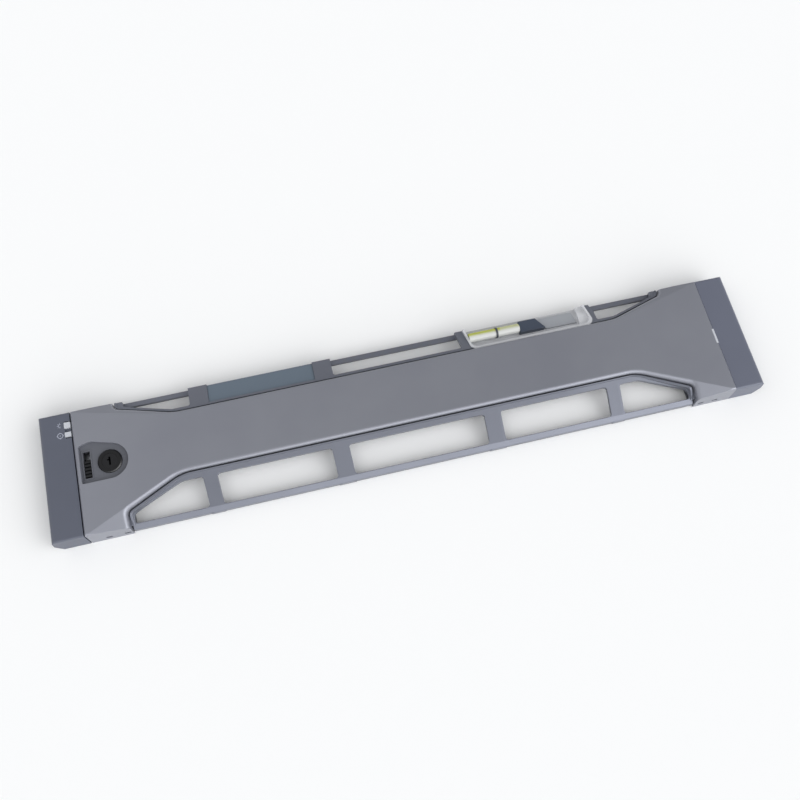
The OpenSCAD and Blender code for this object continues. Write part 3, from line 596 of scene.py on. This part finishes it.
@dataclass
class CapSigns:
    """The two small pad-printed signs on the left cap, each beside its light pipe: a lamp and a dial."""

    from_pipe: float = 2.6 * MM
    lamp_rise: float = 0.6 * MM
    dial_shift: float = 0.4 * MM
    lamp_ring: tuple[float, float] = (0.75 * MM, 1.1 * MM)
    lamp_arc_deg: tuple[float, float] = (60.0, 300.0)
    lamp_rays_deg: tuple[float, ...] = (90.0, 135.0, 180.0, 225.0, 270.0)
    lamp_ray: tuple[float, float] = (1.35 * MM, 1.85 * MM)
    dial_ring: tuple[float, float] = (1.5 * MM, 1.9 * MM)
    dial_rays_deg: tuple[float, ...] = (0.0, 90.0, 180.0, 270.0)
    dial_ray: tuple[float, float] = (1.9 * MM, 2.3 * MM)
    dial_dot: float = 0.35 * MM
    ink_lift: float = 0.03 * MM
    ink_depth: float = 0.02 * MM
    arc_steps: int = 28
    dot_steps: int = 12
    ray_width: float = 0.34 * MM

    def ring(
        self, pen: bmesh.types.BMesh, middle: Vector, radii: tuple[float, float],
        turn: tuple[float, float] = (0.0, 360.0),
    ) -> None:
        """Draws a flat ring or a part of one.

        Args:
            pen: The bmesh that the ink is drawn into.
            middle: The ring's centre.
            radii: Inner and outer radius, in metres.
            turn: Where the ring starts and ends, in degrees.
        """
        start, end = (math.radians(a) for a in turn)
        rows = []
        for step in range(self.arc_steps + 1):
            angle = start + (end - start) * step / self.arc_steps
            rim = Vector((math.cos(angle), math.sin(angle), 0))
            rows.append([pen.verts.new(middle + rim * radius) for radius in radii])
        for near, far in zip(rows, rows[1:]):
            pen.faces.new((near[0], near[1], far[1], far[0]))

    def ray(
        self, pen: bmesh.types.BMesh, middle: Vector, radii: tuple[float, float], angle_deg: float
    ) -> None:
        """Draws a short straight stroke that points away from a centre.

        Args:
            pen: The bmesh that the ink is drawn into.
            middle: The centre.
            radii: Where the stroke starts and ends, in metres from the centre.
            angle_deg: Its direction.
        """
        angle = math.radians(angle_deg)
        along = Vector((math.cos(angle), math.sin(angle), 0))
        across = Vector((-along.y, along.x, 0)) * self.ray_width / 2
        near, far = (middle + along * radius for radius in radii)
        pen.faces.new([pen.verts.new(p) for p in (near - across, far - across, far + across, near + across)])

    def dot(self, pen: bmesh.types.BMesh, middle: Vector, radius: float) -> None:
        """Draws a round dot.

        Args:
            pen: The bmesh that the ink is drawn into.
            middle: The dot's centre.
            radius: Its radius, in metres.
        """
        turns = [2 * math.pi * step / self.dot_steps for step in range(self.dot_steps)]
        pen.faces.new([
            pen.verts.new(middle + Vector((math.cos(a), math.sin(a), 0)) * radius) for a in turns
        ])

    def print_on(self, shelf: FinishShelf) -> bpy.types.Object:
        """Prints both signs on the left cap's face.

        Args:
            shelf: Where the materials are kept.

        Returns:
            The ink, as one piece.
        """
        _, cap_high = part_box("left_end_cap")
        upper_low, upper_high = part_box("upper_light_pipe")
        lower_low, lower_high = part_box("lower_light_pipe")
        z = cap_high.z + self.ink_lift
        x = upper_low.x - self.from_pipe
        pen = bmesh.new()
        lamp = Vector((x, (upper_low.y + upper_high.y) / 2 + self.lamp_rise, z))
        self.ring(pen, lamp, self.lamp_ring, self.lamp_arc_deg)
        for angle in self.lamp_rays_deg:
            self.ray(pen, lamp, self.lamp_ray, angle)
        dial = Vector((x - self.dial_shift, (lower_low.y + lower_high.y) / 2, z))
        self.ring(pen, dial, self.dial_ring)
        self.dot(pen, dial, self.dial_dot)
        for angle in self.dial_rays_deg:
            self.ray(pen, dial, self.dial_ray, angle)
        solid = bmesh.ops.extrude_face_region(pen, geom=list(pen.faces))
        raised = [v for v in solid["geom"] if isinstance(v, bmesh.types.BMVert)]
        bmesh.ops.translate(pen, verts=raised, vec=Vector((0, 0, self.ink_depth)))
        signs = piece_from(pen, "cap_signs", shelf.get(Finish.INK))
        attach(signs, "bezel")
        return signs


@dataclass(frozen=True)
class Glow:
    """A bright patch of the surroundings, such as a window: its direction, strength and narrowness."""

    towards: tuple[float, float, float]
    strength: float
    narrowness: float


@dataclass
class StudioSet:
    """The table, its light and the camera."""

    table_half: float = 3.0
    table_gap: float = 0.05 * MM
    lens_mm: float = 37.46
    sensor_mm: float = 36.0
    eye: tuple[float, float, float] = (-0.0696, -0.1757, 0.5407)
    turn_deg: tuple[float, float, float] = (19.634, -2.109, -13.651)
    wall_top: float = 0.15
    ceiling_from: float = 0.9
    wall_level: float = 0.64
    ceiling_level: float = 0.22
    glows: tuple[Glow, ...] = (
        Glow((0.72, -0.42, 0.55), 3.0, 9.0),
        Glow((-0.75, 0.35, 0.56), 0.5, 4.0),
        Glow((-0.5, -0.12, 0.86), 1.5, 22.0),
        Glow((0.25, -0.93, 0.28), 1.8, 4.0),
    )

    def table(self, shelf: FinishShelf) -> bpy.types.Object:
        """Lays the table top under the bezel.

        Args:
            shelf: Where the materials are kept.

        Returns:
            The table top.
        """
        low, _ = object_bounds()
        grid = bmesh.new()
        bmesh.ops.create_grid(grid, x_segments=8, y_segments=8, size=self.table_half)
        bmesh.ops.translate(grid, verts=grid.verts, vec=Vector((0, 0, low.z - self.table_gap)))
        top = piece_from(grid, "table_top", shelf.get(Finish.TABLE))
        top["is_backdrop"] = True
        return top

    def lobe(
        self, tree: bpy.types.NodeTree, view: bpy.types.NodeSocket, glow: "Glow"
    ) -> bpy.types.NodeSocket:
        """Adds one soft patch of brightness to the surroundings.

        Args:
            tree: The world's node tree.
            view: The direction looked in.
            glow: The patch.

        Returns:
            Its brightness in that direction.
        """
        facing = add_node(
            tree, "ShaderNodeVectorMath", settings={"operation": "DOT_PRODUCT"},
            inputs={1: Vector(glow.towards).normalized()}, links={0: view},
        )
        kept = add_node(
            tree, "ShaderNodeMath", settings={"operation": "MAXIMUM"}, inputs={1: 0.0},
            links={0: facing.outputs["Value"]},
        )
        narrow = add_node(
            tree, "ShaderNodeMath", settings={"operation": "POWER"}, inputs={1: glow.narrowness},
            links={0: kept.outputs["Value"]},
        )
        return add_node(
            tree, "ShaderNodeMath", settings={"operation": "MULTIPLY"}, inputs={1: glow.strength},
            links={0: narrow.outputs["Value"]},
        ).outputs["Value"]

    def light(self) -> None:
        """Lights the set by pale walls, a dim ceiling and two large windows, all far away."""
        world = bpy.data.worlds.new("pale studio")
        bpy.context.scene.world = world
        world.use_nodes = True
        tree = world.node_tree
        tree.nodes.clear()
        view = add_node(tree, "ShaderNodeTexCoord").outputs["Generated"]
        height = add_node(tree, "ShaderNodeSeparateXYZ", links={"Vector": view}).outputs["Z"]
        # bright at eye level, dim overhead
        walls = add_node(
            tree, "ShaderNodeMapRange", settings={"interpolation_type": "SMOOTHERSTEP"},
            inputs={
                "From Min": self.wall_top, "From Max": self.ceiling_from,
                "To Min": self.wall_level, "To Max": self.ceiling_level,
            },
            links={"Value": height},
        )
        total = walls.outputs["Result"]
        for glow in self.glows:
            total = add_node(
                tree, "ShaderNodeMath", settings={"operation": "ADD"},
                links={0: total, 1: self.lobe(tree, view, glow)},
            ).outputs["Value"]
        sky = add_node(
            tree, "ShaderNodeBackground", inputs={"Color": linear("#FCFDFF")}, links={"Strength": total},
        )
        add_node(tree, "ShaderNodeOutputWorld", links={"Surface": sky.outputs["Background"]})

    def camera(self) -> bpy.types.Object:
        """Sets up the camera over the bezel's front edge, left of its middle."""
        data = bpy.data.cameras.new("camera")
        data.lens = self.lens_mm
        data.sensor_width = self.sensor_mm
        data.clip_start, data.clip_end = 0.01, 20.0
        camera = bpy.data.objects.new("camera", data)
        camera.location = self.eye
        camera.rotation_euler = Euler([math.radians(a) for a in self.turn_deg], "XYZ")
        bpy.context.scene.collection.objects.link(camera)
        bpy.context.scene.camera = camera
        return camera


def main() -> None:
    """Builds the dressed bezel and its studio in order."""
    logging.basicConfig(level=logging.INFO, format="%(message)s")
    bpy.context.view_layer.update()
    bpy.context.scene.view_settings.view_transform = "Standard"
    shelf = FinishShelf()
    studio = StudioSet()
    studio.camera()
    studio.table(shelf)
    studio.light()
    log.info("studio: table, lamps and camera")
    log.info("dressed %d nodes", PlainNodes().dress(shelf))
    log.info("printed %s", CapSigns().print_on(shelf).name)


if __name__ == "__main__":
    main()
